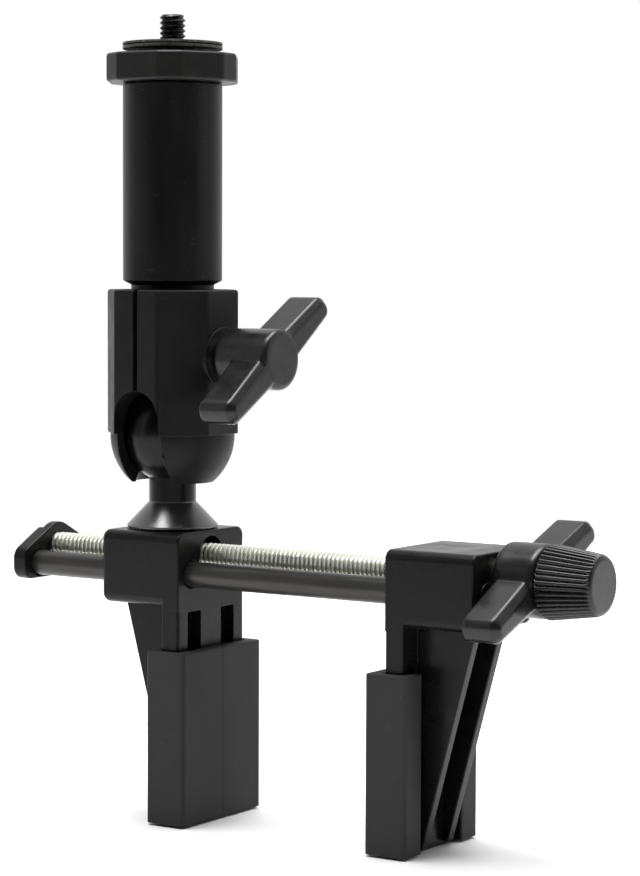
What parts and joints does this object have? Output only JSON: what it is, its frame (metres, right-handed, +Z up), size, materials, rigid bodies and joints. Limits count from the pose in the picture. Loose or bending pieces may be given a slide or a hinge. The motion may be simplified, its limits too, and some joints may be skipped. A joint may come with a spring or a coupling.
{
  "type": "super clamp",
  "caption": "Screw-driven bar clamp with rubber-padded jaws, a ball-jointed post on the sliding jaw and a threaded camera stud on top.",
  "frame": {"origin": "on the floor under the middle of the clamp's overall box", "axes": "+X along the guide rods towards the spin knob, +Z up along the post, +Y away from the slotted side of the socket"},
  "size_m": [0.1614, 0.0474, 0.1988],
  "materials": {
    "jaw_plastic": "satin black moulded plastic",
    "pad_rubber": "matte black rubber",
    "black_steel": "semi-gloss black",
    "zinc_steel": "bright zinc plate",
    "handle_plastic": "slightly glossy dark grey moulded plastic",
    "brass": "machined",
    "stud_metal": "satin black plated metal",
    "socket_plastic": "matte black",
    "post_aluminium": "satin black anodised"
  },
  "bodies": {
    "frame": {"fixed_jaw": "jaw_plastic", "fixed_pad": "pad_rubber", "guide_rod_front": "black_steel", "guide_rod_rear": "black_steel", "end_cap": "jaw_plastic", "end_cap_screw_front": "black_steel", "end_cap_screw_rear": "black_steel", "rod_end_screw_front": "black_steel", "rod_end_screw_rear": "black_steel"},
    "screw_drive": {"lead_screw": "zinc_steel", "screw_clip": "black_steel", "thrust_washer": "zinc_steel", "bar_tee_handle": "handle_plastic", "spin_knob": "handle_plastic"},
    "sliding_carriage": {"sliding_jaw": "jaw_plastic", "sliding_pad": "pad_rubber", "drive_nut": "brass"},
    "ball": {"ball_stud": "stud_metal"},
    "socket": {"socket_half_left": "socket_plastic", "socket_half_right": "socket_plastic", "clamp_bolt": "zinc_steel", "clamp_washer": "zinc_steel", "spreader_spring": "zinc_steel"},
    "clamp_handle": {"clamp_tee_handle": "handle_plastic", "handle_insert": "brass"},
    "post": {"post_tube": "post_aluminium", "post_head": "stud_metal", "disc_pad": "pad_rubber", "camera_stud": "black_steel"},
    "ring": {"lock_ring": "socket_plastic"}
  },
  "joints": [
    {"name": "jaw_slide", "type": "slide", "parent": "frame", "child": "sliding_carriage", "axis": [1, 0, 0], "range_m": [-0.0237, 0.0518]},
    {"name": "screw_spin", "type": "hinge", "parent": "frame", "child": "screw_drive", "pos_m": [0, 0, 0.0654], "axis": [1, 0, 0], "range_deg": [-14700, 6730]},
    {"name": "ball_swivel", "type": "hinge", "parent": "sliding_carriage", "child": "ball", "pos_m": [-0.04035, 0, 0.09575], "axis": [0, 0, 1], "range_deg": [-180, 180]},
    {"name": "ball_tilt", "type": "hinge", "parent": "ball", "child": "socket", "pos_m": [-0.04035, 0, 0.09575], "axis": [1, 0, 0], "range_deg": [-13, 90]},
    {"name": "clamp_handle_turn", "type": "hinge", "parent": "socket", "child": "clamp_handle", "pos_m": [0, 0, 0.1144], "axis": [1, 0, 0], "range_deg": [-30, 360]},
    {"name": "post_turn", "type": "hinge", "parent": "socket", "child": "post", "pos_m": [-0.04035, 0, 0.1334], "axis": [0, 0, 1], "continuous": true},
    {"name": "lock_ring_turn", "type": "hinge", "parent": "post", "child": "ring", "pos_m": [-0.04035, 0, 0.1821], "axis": [0, 0, 1], "range_deg": [-90, 360]}
  ],
  "couplings": [
    {"joint": "screw_spin", "follows": "jaw_slide", "rad_per_m": -4947.4}
  ]
}
